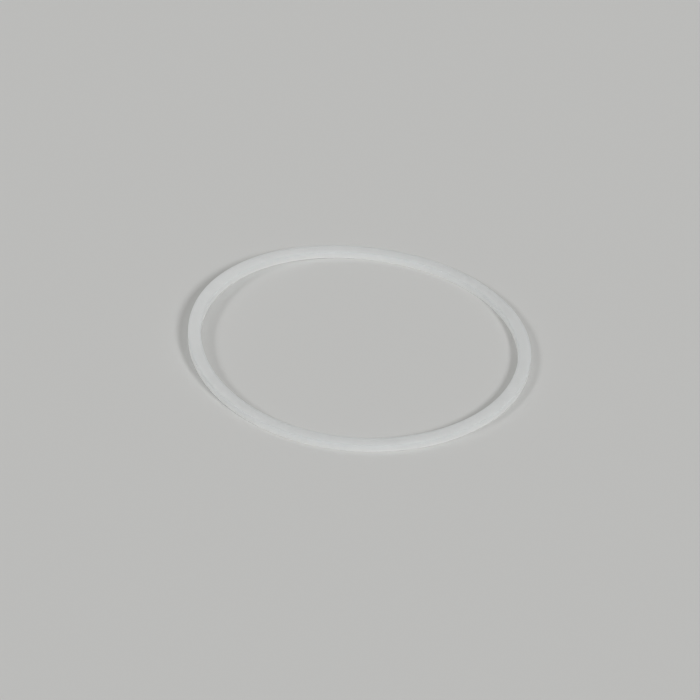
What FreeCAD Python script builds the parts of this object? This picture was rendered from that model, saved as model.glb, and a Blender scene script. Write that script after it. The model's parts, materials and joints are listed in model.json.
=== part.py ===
"""Backup ring: a plain white ring of rectangular section, turned from tough plastic, lying slightly bowed.

Frame: millimetres, +Z up, origin on the ring's axis at the height of the surface that it rests on.
The ring touches that surface along the Y axis, at its front and back. Its -X side stands highest off the
surface and its +X side a little, so from the side the ring is a sheet bent gently upwards on both sides.
"""

import FreeCAD
import Part
import Sketcher
import enum
import math
import os

NODE = "backup_ring"

# Driving sizes in millimetres, each with what it measures
SIZES = {
    "bore_diameter": (54.6, "inside diameter, across the bore"),
    "radial_width": (2.2, "section width, from bore wall to outer wall"),
    "thickness": (1.27, "section thickness, square to the two faces"),
    "high_side_lift": (1.34, "height of the underside off the surface at the outer edge on the -X side"),
    "low_side_lift": (0.43, "height of the underside off the surface at the outer edge on the +X side"),
    "edge_break": (0.12, "width of the small chamfer that takes the sharpness off the four edges"),
}


class Point(enum.IntEnum):
    """The points of a sketch element, in the sketcher's own numbering."""

    START = enum.auto()
    END = enum.auto()
    CENTRE = enum.auto()


class Axis(enum.IntEnum):
    """The sketch's own axes, in the sketcher's own numbering."""

    HORIZONTAL = -1
    VERTICAL = -2


# The sketch's origin is the start of its horizontal axis
ROOT = (Axis.HORIZONTAL, Point.START)

# Derived sizes, as formulas of the sheet's cells
OUTER_RADIUS = "(Sizes.bore_diameter / 2 + Sizes.radial_width)"
BOW_RADIUS = "(({r})^2 + Sizes.{lift}^2) / (2 * Sizes.{lift})"
PROFILE_REACH = OUTER_RADIUS + " + Sizes.radial_width"
BLANK_ABOVE = "Sizes.high_side_lift + Sizes.low_side_lift + 2 * Sizes.thickness"
BLANK_BELOW = "Sizes.thickness"


def make_sheet(doc):
    """Puts every driving size into a sheet, as a plain number with an alias and a note beside it."""
    sheet = doc.addObject("Spreadsheet::Sheet", "Sizes")
    for row, (name, (value, note)) in enumerate(SIZES.items(), start=1):
        sheet.set("A%d" % row, name)
        sheet.set("B%d" % row, str(value))
        sheet.set("C%d" % row, note)
        sheet.setAlias("B%d" % row, name)
    return sheet


def origin_plane(body, role):
    """Finds one of the body's own origin planes, such as XY_Plane."""
    return next(item for item in body.Origin.OriginFeatures if item.Role == role)


def make_sketch(body, name, role):
    """Adds an empty sketch that lies on one of the body's own origin planes."""
    sketch = body.newObject("Sketcher::SketchObject", name)
    sketch.AttachmentSupport = [(origin_plane(body, role), "")]
    sketch.MapMode = "FlatFace"
    return sketch


def tie(sketch, name, formula, kind, *places):
    """Adds a measured constraint, gives it a name and binds it to a formula of the sheet's sizes."""
    index = sketch.addConstraint(Sketcher.Constraint(kind, *places))
    sketch.renameConstraint(index, name)
    sketch.setExpression("Constraints." + name, formula)


def join(sketch, kind, *places):
    """Adds a constraint that has no measure, such as Coincident or Vertical."""
    sketch.addConstraint(Sketcher.Constraint(kind, *places))


def ring_plan(body, bore_radius, outer_radius):
    """Draws the ring from above: the bore and the outside as two circles about the origin."""
    sketch = make_sketch(body, "RingPlan", "XY_Plane")
    for name, radius, formula in (
        ("bore_radius", bore_radius, "Sizes.bore_diameter / 2"),
        ("outer_radius", outer_radius, OUTER_RADIUS),
    ):
        circle = Part.Circle(FreeCAD.Vector(0, 0, 0), FreeCAD.Vector(0, 0, 1), radius)
        number = sketch.addGeometry(circle, False)
        join(sketch, "Coincident", number, Point.CENTRE, *ROOT)
        tie(sketch, name, formula, "Radius", number, radius)
    return sketch


def bow_arc(sketch, bow_radius, offset, reach, side):
    """Draws one arc of the bow, from the middle out to x = side * reach, its centre above the origin.

    The underside has offset 0 and the top face has offset thickness, about the same centre.
    """
    radius = bow_radius - offset
    swing = math.asin(reach / radius)
    down = 1.5 * math.pi
    angles = (down - swing, down) if side < 0 else (down, down + swing)
    circle = Part.Circle(FreeCAD.Vector(0, bow_radius, 0), FreeCAD.Vector(0, 0, 1), radius)
    return sketch.addGeometry(Part.ArcOfCircle(circle, *angles), False)


def close_waste(sketch, left, right, height, name, formula, reach, sign):
    """Closes a left and a right arc into an area, by two upright lines and a level one at the given height.

    sign is +1 where the level line runs above the arcs and -1 where it runs below them.
    """
    arcs = sketch.Geometry
    start = arcs[left].StartPoint
    end = arcs[right].EndPoint
    corners = [end, FreeCAD.Vector(reach, height, 0), FreeCAD.Vector(-reach, height, 0), start]
    sides = [
        sketch.addGeometry(Part.LineSegment(corners[k], corners[k + 1]), False) for k in range(3)
    ]
    join(sketch, "Coincident", sides[0], Point.START, right, Point.END)
    join(sketch, "Coincident", sides[1], Point.START, sides[0], Point.END)
    join(sketch, "Coincident", sides[2], Point.START, sides[1], Point.END)
    join(sketch, "Coincident", sides[2], Point.END, left, Point.START)
    join(sketch, "Vertical", sides[0])
    join(sketch, "Horizontal", sides[1])
    join(sketch, "Vertical", sides[2])
    level = (sides[1], Point.START)
    pair = (ROOT + level) if sign > 0 else (level + ROOT)
    tie(sketch, name, formula, "DistanceY", *pair, abs(height))


def bow_waste(body, sizes, outer_radius):
    """Draws, from the side, what is cut away above and below the bowed ring.

    Each face of the ring is two arcs that meet level on the ring's axis: one rises to the high side and
    one to the low side. The top arcs share the bottom ones' centres, so the thickness is even all over.
    """
    reach = outer_radius + sizes["radial_width"]
    thickness = sizes["thickness"]
    above = sizes["high_side_lift"] + sizes["low_side_lift"] + 2 * thickness
    sketch = make_sketch(body, "BowWaste", "XZ_Plane")
    bottom = {}
    top = {}
    for side, lift in ((-1, "high_side_lift"), (1, "low_side_lift")):
        bow_radius = (outer_radius**2 + sizes[lift] ** 2) / (2 * sizes[lift])
        inner, tip = (Point.END, Point.START) if side < 0 else (Point.START, Point.END)

        bottom[side] = bow_arc(sketch, bow_radius, 0, reach, side)
        formula = BOW_RADIUS.format(r=OUTER_RADIUS, lift=lift)
        join(sketch, "PointOnObject", bottom[side], Point.CENTRE, Axis.VERTICAL)
        join(sketch, "Coincident", bottom[side], inner, *ROOT)
        tie(sketch, lift.replace("lift", "bow_radius"), formula, "Radius", bottom[side], bow_radius)

        top[side] = bow_arc(sketch, bow_radius, thickness, reach, side)
        join(sketch, "Coincident", top[side], Point.CENTRE, bottom[side], Point.CENTRE)

        for name, arc in (("under", bottom[side]), ("over", top[side])):
            ends = ((arc, tip) + ROOT) if side < 0 else (ROOT + (arc, tip))
            tie(sketch, lift.replace("lift", name), PROFILE_REACH, "DistanceX", *ends, reach)

    join(sketch, "PointOnObject", top[-1], Point.END, Axis.VERTICAL)
    tie(sketch, "thickness", "Sizes.thickness", "DistanceY", *ROOT, top[-1], Point.END, thickness)
    join(sketch, "Coincident", top[1], Point.START, top[-1], Point.END)

    clear_above = BLANK_ABOVE + " + Sizes.thickness"
    clear_below = BLANK_BELOW + " + Sizes.thickness"
    close_waste(sketch, top[-1], top[1], above + thickness, "waste_top", clear_above, reach, 1)
    close_waste(sketch, bottom[-1], bottom[1], -2 * thickness, "waste_base", clear_below, reach, -1)
    return sketch


def make_ring(doc, sizes):
    """Builds the ring: a tall turned blank, cut to the bow above and below, with its edges chamfered."""
    bore_radius = sizes["bore_diameter"] / 2
    outer_radius = bore_radius + sizes["radial_width"]
    body = doc.addObject("PartDesign::Body", "BackupRing")
    body.Label = NODE

    plan = ring_plan(body, bore_radius, outer_radius)
    blank = body.newObject("PartDesign::Pad", "RingBlank")
    blank.Profile = plan
    blank.SideType = "Two sides"
    blank.setExpression("Length", BLANK_ABOVE)
    blank.setExpression("Length2", BLANK_BELOW)
    doc.recompute()

    waste = bow_waste(body, sizes, outer_radius)
    bow = body.newObject("PartDesign::Pocket", "Bow")
    bow.Profile = waste
    bow.SideType = "Symmetric"
    bow.setExpression("Length", "2 * (" + PROFILE_REACH + ")")
    doc.recompute()

    edges = [
        "Edge%d" % number
        for number, edge in enumerate(bow.Shape.Edges, start=1)
        if not isinstance(edge.Curve, Part.Line)
    ]
    eased = body.newObject("PartDesign::Chamfer", "EdgeBreak")
    eased.Base = (bow, edges)
    eased.ChamferType = "Equal distance"
    eased.setExpression("Size", "Sizes.edge_break")
    body.Tip = eased
    doc.recompute()
    return body, blank, bow


def check(doc, body, blank, bow):
    """Stops with a message if any object failed, or if the ring isn't one sound solid."""
    for item in doc.Objects:
        if "Invalid" in item.State or "Error" in item.State:
            raise RuntimeError("%s failed: %s" % (item.Label, item.State))
    shape = body.Shape
    if shape.isNull() or not shape.isValid() or len(shape.Solids) != 1:
        raise RuntimeError("%s isn't one valid solid" % body.Label)
    if not shape.Volume < bow.Shape.Volume < blank.Shape.Volume:
        raise RuntimeError("a cut took nothing away")


def main():
    """Builds the document, checks it and writes the ring's STEP file."""
    doc = FreeCAD.newDocument("BackupRing")
    make_sheet(doc)
    doc.recompute()
    sizes = {name: value for name, (value, note) in SIZES.items()}
    body, blank, bow = make_ring(doc, sizes)
    check(doc, body, blank, bow)
    os.makedirs("parts", exist_ok=True)
    body.Shape.exportStep("parts/%s.step" % body.Label)
    box = body.Shape.BoundBox
    print("volume %.1f mm3, size %.2f x %.2f x %.2f mm" % (
        body.Shape.Volume, box.XLength, box.YLength, box.ZLength
    ))


main()
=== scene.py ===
import json
import math

import bpy
import numpy as np
from mathutils import Matrix, Vector


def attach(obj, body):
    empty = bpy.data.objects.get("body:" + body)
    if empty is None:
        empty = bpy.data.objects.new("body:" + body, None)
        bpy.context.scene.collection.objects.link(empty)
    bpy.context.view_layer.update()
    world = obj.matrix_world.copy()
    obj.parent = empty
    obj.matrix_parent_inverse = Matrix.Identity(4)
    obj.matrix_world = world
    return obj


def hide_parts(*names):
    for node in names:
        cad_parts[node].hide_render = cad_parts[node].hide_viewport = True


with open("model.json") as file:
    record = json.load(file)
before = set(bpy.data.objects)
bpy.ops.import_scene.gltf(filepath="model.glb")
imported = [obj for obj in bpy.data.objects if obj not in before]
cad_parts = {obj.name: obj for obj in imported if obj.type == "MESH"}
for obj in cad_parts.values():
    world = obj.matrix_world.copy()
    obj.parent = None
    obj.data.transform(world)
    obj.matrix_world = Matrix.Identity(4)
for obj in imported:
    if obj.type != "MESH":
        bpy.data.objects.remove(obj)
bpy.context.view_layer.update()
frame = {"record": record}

# The ring's own sizes in metres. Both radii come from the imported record's mounts, the rest are the solid's.
MILLIMETRE = 0.001
MOUNTS = {mount["name"]: mount["dims"]["r_mm"] * MILLIMETRE for mount in frame["record"]["mounts"]}
BORE_RADIUS = MOUNTS["bore"]
OUTER_RADIUS = MOUNTS["outer_wall"]
SECTION_WIDTH = OUTER_RADIUS - BORE_RADIUS
THICKNESS = 1.27 * MILLIMETRE
HIGH_SIDE_LIFT = 1.34 * MILLIMETRE
LOW_SIDE_LIFT = 0.43 * MILLIMETRE
EDGE_ROUND = 0.04 * MILLIMETRE

# How finely the ring is divided, round its axis and round its section
STEPS_ROUND = 1000
FACE_STEPS = 18
WALL_STEPS = 12
CORNER_STEPS = 5

# Irregularity of the turned ring: how far its top sags, and how much its edge rounds vary, as a share.
# Each ripple is a set of waves, given by how many of them go round the ring.
WAVINESS = 0.006 * MILLIMETRE
TOP_WAVES = (5, 9, 14, 23)
EDGE_UNEVENNESS = 0.35
EDGE_WAVES = (3, 7, 11, 17, 29, 41)
WEAKEST_WAVE = 0.4

# The plastic: colours as linear red, green and blue
PLASTIC_COLOUR = (0.95, 0.968, 0.977)
SHADE_COLOUR = (0.89, 0.915, 0.927)
MOTTLE_OF_SHADE = 0.6
MARKS_OF_SHADE = 0.4
# These two tones are painted light: painted shade that darkens the tops of the walls, and a painted warm glow
# that lightens their feet. Both multiply the plastic's colours.
WALL_TOP_PAINTED_SHADE = (0.935, 0.935, 0.935)
WALL_FOOT_PAINTED_GLOW = (1.01, 0.993, 0.97)
THROUGH_COLOUR = (0.989, 0.999, 1.0)
SCATTER_DEPTH = 0.4 * MILLIMETRE
SCATTER_REACH = (1.0, 1.0, 1.0)
PLASTIC_IOR = 1.35
GLOSSIEST = 0.36
DULLEST = 0.48

# The share of light that goes through: on the top face, down the walls from top to foot, and underneath
FACE_THROUGH = 0.64
WALL_TOP_THROUGH = 0.72
WALL_FOOT_THROUGH = 0.44
UNDERSIDE_THROUGH = 0.95
MOTTLE_OF_THROUGH = 0.02
MARKS_OF_THROUGH = 0.03
FADE_ON_TOP = 0.45 * MILLIMETRE

# Pattern sizes: slow mottling, fine grain, and turning marks that follow the section
MOTTLE_SIZE = 2.8 * MILLIMETRE
GRAIN_SIZE = 0.16 * MILLIMETRE
MARKS_ROUND_SECTION = 60
MARK_DEPTH = 0.006 * MILLIMETRE
GRAIN_DEPTH = 0.003 * MILLIMETRE

# The photograph: its side and where the ring stands in it, in its own pixels
PHOTO_SIDE = 700
RING_RADIUS_PX = 171.7
RING_CENTRE_PX = (359.2, 348.2)
VIEW_ELEVATION = math.radians(35.3)
VIEW_AZIMUTH = math.radians(16.0)
VIEW_ROLL = math.radians(5.0)
VIEW_DISTANCE = 20 * OUTER_RADIUS
NEAREST_SEEN = 0.01
FARTHEST_SEEN = 10.0
SENSOR_MM = 36.0

# Far lamps: turn from the camera's side, elevation and spread in degrees, and share of the floor's light
LAMPS = {
    "lamp_front_right": {"turn": 39.0, "elevation": 37.0, "spread": 16.0, "share": 0.284},
    "lamp_front_left": {"turn": -54.0, "elevation": 36.0, "spread": 14.0, "share": 0.150},
    "lamp_front_high": {"turn": 0.0, "elevation": 54.0, "spread": 30.0, "share": 0.084},
    "lamp_back_low": {"turn": 180.0, "elevation": 25.0, "spread": 60.0, "share": 0.036},
}
LAMP_COLOUR = (0.99, 1.0, 1.02)

# Even light from all round, and the floor
WORLD_LIGHT = 0.265
WORLD_COLOUR = (1.02, 1.0, 0.96)
FLOOR_SIDE = 3.0
FLOOR_COLOUR = (0.61, 0.61, 0.597)


def sheet_heights(x):
    """Height of the bowed ring's underside and top at distance x across the bow.

    Each is an arc through the middle line, level there. The underside's reaches its side's lift at the
    outer radius, and the top's shares its centre and is one thickness smaller.
    """
    lift = np.where(x < 0, HIGH_SIDE_LIFT, LOW_SIDE_LIFT)
    radius = (OUTER_RADIUS**2 + lift**2) / (2 * lift)
    under = radius - np.sqrt(radius**2 - x**2)
    over = radius - np.sqrt((radius - THICKNESS) ** 2 - x**2)
    return under, over


def waves(angle, counts, seed):
    """A smooth closed ripple round the ring, between -1 and 1.

    It is a sum of cosines, each with a whole number of waves round the ring, a random start and weight.
    """
    draw = np.random.default_rng(seed)
    phases = draw.uniform(0, 2 * math.pi, len(counts))
    weights = draw.uniform(WEAKEST_WAVE, 1.0, len(counts))
    total = sum(w * np.cos(n * angle + p) for w, n, p in zip(weights, counts, phases))
    return total / weights.sum()


def section_outline(edge_round):
    """Points round the section as widths and heights, one row a point and one column an edge radius.

    A rounded rectangle: each corner is a quarter circle of the edge radius, and each side an even run
    from the end of one corner to the start of the next.
    """
    # Each corner: 1 for the outer wall, 1 for the top, the turn it starts at, and the next side's steps
    corners = (
        (1, 0, -90, WALL_STEPS),
        (1, 1, 0, FACE_STEPS),
        (0, 1, 90, WALL_STEPS),
        (0, 0, 180, FACE_STEPS),
    )
    quarter = np.linspace(0, math.pi / 2, CORNER_STEPS + 1)[:, None]
    arcs = []
    for across, up, start, _ in corners:
        turn = math.radians(start) + quarter
        centre_w = edge_round + across * (SECTION_WIDTH - 2 * edge_round)
        centre_h = edge_round + up * (THICKNESS - 2 * edge_round)
        arcs.append(np.stack([centre_w + edge_round * np.cos(turn), centre_h + edge_round * np.sin(turn)]))
    runs = []
    for k, (_, _, _, steps) in enumerate(corners):
        arc_end = arcs[k][:, -1:]
        next_start = arcs[(k + 1) % len(arcs)][:, :1]
        share = (np.arange(1, steps) / steps)[None, :, None]
        runs += [arcs[k], arc_end + share * (next_start - arc_end)]
    width, height = np.concatenate(runs, axis=1)
    return width, height


def through_and_painted_light(width, height, edge_round):
    """The share of light that goes through, and the tone, at each point of the section.

    Both run evenly from the top of a wall to its foot. They fade into those of the flat top over a short
    way in from the edge, and into the underside's over the edge round. The tone multiplies the plastic's
    colours: painted shade darkens the tops of the walls and a painted warm glow lightens their feet, and it
    is 1 on the flat sides.
    """
    up = height / THICKNESS
    from_wall = np.minimum(width, SECTION_WIDTH - width)
    fade = np.where(up > 0.5, FADE_ON_TOP, edge_round)
    on_wall = np.clip(1 - from_wall / fade, 0, 1)
    flat_through = np.where(up > 0.5, FACE_THROUGH, UNDERSIDE_THROUGH)
    wall_through = WALL_FOOT_THROUGH + up * (WALL_TOP_THROUGH - WALL_FOOT_THROUGH)
    # Painted shade at the top of a wall, running to a painted warm glow at its foot
    foot_painted_glow = np.array(WALL_FOOT_PAINTED_GLOW)
    wall_painted_light = foot_painted_glow + up[..., None] * (np.array(WALL_TOP_PAINTED_SHADE) - foot_painted_glow)
    painted_light_tone = 1 + on_wall[..., None] * (wall_painted_light - 1)
    return flat_through + on_wall * (wall_through - flat_through), painted_light_tone


def ring_points(angle, width, height):
    """The section's points carried round the axis and set on the bowed sheet.

    A point's plan place is bore radius plus width, turned by its column's angle. Its height goes from the
    underside to the top in step with its height in the section, and the top sags a little in places.
    """
    radius = BORE_RADIUS + width
    x = radius * np.cos(angle)
    y = radius * np.sin(angle)
    under, over = sheet_heights(x)
    up = height / THICKNESS
    sag = WAVINESS * abs(waves(angle, TOP_WAVES, seed=8))
    z = under + up * (over - under - sag)
    return np.stack([x, y, z], axis=-1)


def ring_faces(rows, columns):
    """The faces of a grid that is closed both ways, each by the numbers of its four points.

    A face joins its own row and column to the next ones, and the last ones join the first.
    """
    row = np.arange(rows)[:, None]
    next_row = (row + 1) % rows
    column = np.arange(columns)[None, :]
    next_column = (column + 1) % columns
    corners = ((row, column), (row, next_column), (next_row, next_column), (next_row, column))
    return np.stack([r * columns + c for r, c in corners], axis=-1).reshape(-1, 4)


def turned_map(width, height, columns):
    """The UV places of the faces' corners: u runs round the axis, and v along the section's outline."""
    travel = np.hypot(np.diff(width, append=width[0]), np.diff(height, append=height[0]))
    along = np.concatenate([[0.0], np.cumsum(travel)]) / travel.sum()
    column = np.arange(columns)
    places = np.empty((len(width), columns, 4, 2), np.float32)
    places[..., 0] = np.stack([column, column + 1, column + 1, column], axis=-1) / columns
    places[..., 1] = np.stack([along[:-1], along[:-1], along[1:], along[1:]], axis=-1)[:, None, :]
    return places


def ring_mesh():
    """The ring's surface: rows of points round the section, columns round the axis, their share of light
    going through, and their painted light tone.
    """
    angle = np.arange(STEPS_ROUND) * (2 * math.pi / STEPS_ROUND)
    uneven = 1 + EDGE_UNEVENNESS * waves(angle, EDGE_WAVES, seed=4)
    edge_round = EDGE_ROUND * uneven
    width, height = section_outline(edge_round)
    rows, columns = width.shape

    mesh = bpy.data.meshes.new("backup_ring_surface")
    points = ring_points(angle, width, height)
    mesh.from_pydata(points.reshape(-1, 3).tolist(), [], ring_faces(rows, columns).tolist())
    places = turned_map(width[:, 0], height[:, 0], columns)
    mesh.uv_layers.new(name="turned").data.foreach_set("uv", places.ravel())
    share, painted_light_tone = through_and_painted_light(width, height, edge_round)
    through = mesh.attributes.new("through", "FLOAT", "POINT")
    through.data.foreach_set("value", share.ravel().astype(np.float32))
    # The painted light tone at each point: painted shade on the wall tops, a painted warm glow at their feet
    painted_light_tones = mesh.attributes.new("painted_light_tone", "FLOAT_VECTOR", "POINT")
    painted_light_tones.data.foreach_set("vector", painted_light_tone.ravel().astype(np.float32))
    mesh.polygons.foreach_set("use_smooth", np.ones(len(mesh.polygons), bool))
    mesh.update()
    return mesh


def attribute(tree, name, output):
    """What the mesh holds at each point under a name."""
    node = tree.nodes.new("ShaderNodeAttribute")
    node.attribute_name = name
    return node.outputs[output]


def round_section(tree):
    """How far round the section a point lies, from 0 to 1."""
    turned = tree.nodes.new("ShaderNodeUVMap")
    turned.uv_map = "turned"
    split = tree.nodes.new("ShaderNodeSeparateXYZ")
    tree.links.new(turned.outputs["UV"], split.inputs["Vector"])
    return split.outputs["Y"]


def noise(tree, place, size, detail, dimensions="3D"):
    """A noise pattern, with features of about the given size in the units of its place."""
    node = tree.nodes.new("ShaderNodeTexNoise")
    node.noise_dimensions = dimensions
    node.inputs["Scale"].default_value = 1 / size
    node.inputs["Detail"].default_value = detail
    tree.links.new(place, node.inputs["W" if dimensions == "1D" else "Vector"])
    return node.outputs["Fac"]


def carry(tree, value, low, high, start=0.3, end=0.7):
    """A value carried from the range start to end, which holds most of a noise, to the range low to high."""
    node = tree.nodes.new("ShaderNodeMapRange")
    node.inputs["From Min"].default_value = start
    node.inputs["From Max"].default_value = end
    node.inputs["To Min"].default_value = low
    node.inputs["To Max"].default_value = high
    tree.links.new(value, node.inputs["Value"])
    return node.outputs["Result"]


def total(tree, first, second):
    """The sum of two values."""
    node = tree.nodes.new("ShaderNodeMath")
    node.operation = "ADD"
    tree.links.new(first, node.inputs[0])
    tree.links.new(second, node.inputs[1])
    return node.outputs["Value"]


def with_painted_light(tree, painted_light_tone, colour):
    """A plain colour multiplied by the painted light tone: painted shade on the wall tops, a painted warm
    glow at their feet.
    """
    node = tree.nodes.new("ShaderNodeVectorMath")
    node.operation = "MULTIPLY"
    tree.links.new(painted_light_tone, node.inputs[0])
    node.inputs[1].default_value = colour
    return node.outputs["Vector"]


def between(tree, share, first, second):
    """A colour between two others, the first at a share of 0 and the second at 1."""
    node = tree.nodes.new("ShaderNodeMix")
    node.data_type = "VECTOR"
    tree.links.new(share, node.inputs["Factor"])
    tree.links.new(first, node.inputs["A"])
    tree.links.new(second, node.inputs["B"])
    return node.outputs["Result"]


def relief(tree, pattern, depth, beneath=None):
    """A bump of the given depth from a pattern, on top of another bump."""
    node = tree.nodes.new("ShaderNodeBump")
    node.inputs["Strength"].default_value = 1.0
    node.inputs["Distance"].default_value = depth
    tree.links.new(pattern, node.inputs["Height"])
    if beneath:
        tree.links.new(beneath, node.inputs["Normal"])
    return node.outputs["Normal"]


def turned_plastic():
    """White waxy plastic that light goes into and partly through.

    Its colour is mottled, has faint turning marks, and is multiplied by a painted tone: painted shade near
    the tops of the walls and a painted warm glow at their feet. Its gloss varies with the grain, and less
    light goes through low on the walls, which look brighter there in front light.
    """
    material = bpy.data.materials.new("turned_white_plastic")
    material.use_nodes = True
    tree = material.node_tree
    place = tree.nodes.new("ShaderNodeTexCoord").outputs["Object"]
    mottle = noise(tree, place, MOTTLE_SIZE, detail=3.0)
    grain = noise(tree, place, GRAIN_SIZE, detail=2.0)
    marks = noise(tree, round_section(tree), 1 / MARKS_ROUND_SECTION, detail=3.0, dimensions="1D")
    # The painted light tone: painted shade at the tops of the walls, a painted warm glow at their feet
    painted_light_tone = attribute(tree, "painted_light_tone", "Vector")
    surface = relief(tree, grain, GRAIN_DEPTH, relief(tree, marks, MARK_DEPTH))

    body = tree.nodes["Principled BSDF"]
    slow = carry(tree, mottle, 0.0, MOTTLE_OF_SHADE)
    fine = carry(tree, marks, 0.0, MARKS_OF_SHADE)
    plain = with_painted_light(tree, painted_light_tone, PLASTIC_COLOUR)
    shade = with_painted_light(tree, painted_light_tone, SHADE_COLOUR)
    tree.links.new(between(tree, total(tree, slow, fine), plain, shade), body.inputs["Base Color"])
    tree.links.new(carry(tree, grain, GLOSSIEST, DULLEST), body.inputs["Roughness"])
    body.inputs["IOR"].default_value = PLASTIC_IOR
    body.inputs["Subsurface Weight"].default_value = 1.0
    body.inputs["Subsurface Radius"].default_value = SCATTER_REACH
    body.inputs["Subsurface Scale"].default_value = SCATTER_DEPTH
    tree.links.new(surface, body.inputs["Normal"])

    through = tree.nodes.new("ShaderNodeBsdfTranslucent")
    tree.links.new(with_painted_light(tree, painted_light_tone, THROUGH_COLOUR), through.inputs["Color"])
    tree.links.new(surface, through.inputs["Normal"])

    slow = carry(tree, mottle, -MOTTLE_OF_THROUGH, MOTTLE_OF_THROUGH)
    fine = carry(tree, marks, -MARKS_OF_THROUGH, MARKS_OF_THROUGH)
    share = total(tree, attribute(tree, "through", "Fac"), total(tree, slow, fine))
    both = tree.nodes.new("ShaderNodeMixShader")
    tree.links.new(share, both.inputs["Fac"])
    tree.links.new(body.outputs["BSDF"], both.inputs[1])
    tree.links.new(through.outputs["BSDF"], both.inputs[2])
    tree.links.new(both.outputs["Shader"], tree.nodes["Material Output"].inputs["Surface"])
    return material


def floor_material():
    """Plain pale matt floor."""
    material = bpy.data.materials.new("floor")
    material.use_nodes = True
    shader = material.node_tree.nodes["Principled BSDF"]
    shader.inputs["Base Color"].default_value = (*FLOOR_COLOUR, 1)
    shader.inputs["Roughness"].default_value = 1.0
    shader.inputs["Specular IOR Level"].default_value = 0.0
    return material


def add_object(name, mesh, material):
    """Puts a mesh into the scene as an object at the origin."""
    piece = bpy.data.objects.new(name, mesh)
    mesh.materials.append(material)
    bpy.context.scene.collection.objects.link(piece)
    return piece


def add_floor():
    """A square floor at the height that the ring rests on."""
    half = FLOOR_SIDE / 2
    mesh = bpy.data.meshes.new("floor")
    corners = [(-half, -half, 0), (half, -half, 0), (half, half, 0), (-half, half, 0)]
    mesh.from_pydata(corners, [], [(0, 1, 2, 3)])
    floor = add_object("floor", mesh, floor_material())


def from_camera_side(turn, elevation, distance):
    """A point at a distance and elevation, turned from the camera's own side, positive to its right."""
    heading = VIEW_AZIMUTH - math.pi / 2 + turn
    level = distance * math.cos(elevation)
    return Vector((level * math.cos(heading), level * math.sin(heading), distance * math.sin(elevation)))


def aim(thing, place, roll=0.0):
    """Stands a camera or lamp at a place, facing the origin, rolled about its own line of sight."""
    facing = (-place).to_track_quat("-Z", "Y").to_matrix().to_4x4()
    thing.matrix_world = Matrix.Translation(place) @ facing @ Matrix.Rotation(roll, 4, "Z")


def add_camera():
    """The photograph's view: the ring's centre and size land where they are in the photograph."""
    data = bpy.data.cameras.new("camera")
    camera = bpy.data.objects.new("camera", data)
    bpy.context.scene.collection.objects.link(camera)
    focal_px = RING_RADIUS_PX * VIEW_DISTANCE / OUTER_RADIUS
    data.sensor_width = SENSOR_MM
    data.lens = focal_px * SENSOR_MM / PHOTO_SIDE
    data.clip_start = NEAREST_SEEN
    data.clip_end = FARTHEST_SEEN
    aim(camera, from_camera_side(0.0, VIEW_ELEVATION, VIEW_DISTANCE), VIEW_ROLL)
    pan = math.atan((RING_CENTRE_PX[0] - PHOTO_SIDE / 2) / focal_px)
    tilt = math.atan((RING_CENTRE_PX[1] - PHOTO_SIDE / 2) / focal_px)
    turn = Matrix.Rotation(pan, 4, "Y") @ Matrix.Rotation(tilt, 4, "X")
    camera.matrix_world = camera.matrix_world @ turn
    bpy.context.scene.camera = camera


def add_lamps():
    """Soft far lamps: the front ones on the left and right cast the ring's two faint shadows.

    A far lamp's strength is the light on a face turned to it, so the floor's share is divided by the
    sine of its elevation.
    """
    for name, lamp in LAMPS.items():
        data = bpy.data.lights.new(name, "SUN")
        elevation = math.radians(lamp["elevation"])
        data.angle = math.radians(lamp["spread"])
        data.energy = math.pi * lamp["share"] / math.sin(elevation)
        data.color = LAMP_COLOUR
        thing = bpy.data.objects.new(name, data)
        bpy.context.scene.collection.objects.link(thing)
        aim(thing, from_camera_side(math.radians(lamp["turn"]), elevation, VIEW_DISTANCE))


def add_world():
    """Even light from all round, a little warmer than the lamps."""
    world = bpy.data.worlds.new("world")
    bpy.context.scene.world = world
    world.use_nodes = True
    background = world.node_tree.nodes["Background"]
    background.inputs["Color"].default_value = (*WORLD_COLOUR, 1)
    background.inputs["Strength"].default_value = WORLD_LIGHT


ring = add_object("backup_ring_turned", ring_mesh(), turned_plastic())
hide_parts("backup_ring")
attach(ring, "root")

add_floor()
add_camera()
add_lamps()
add_world()
bpy.context.scene.view_settings.view_transform = "Standard"
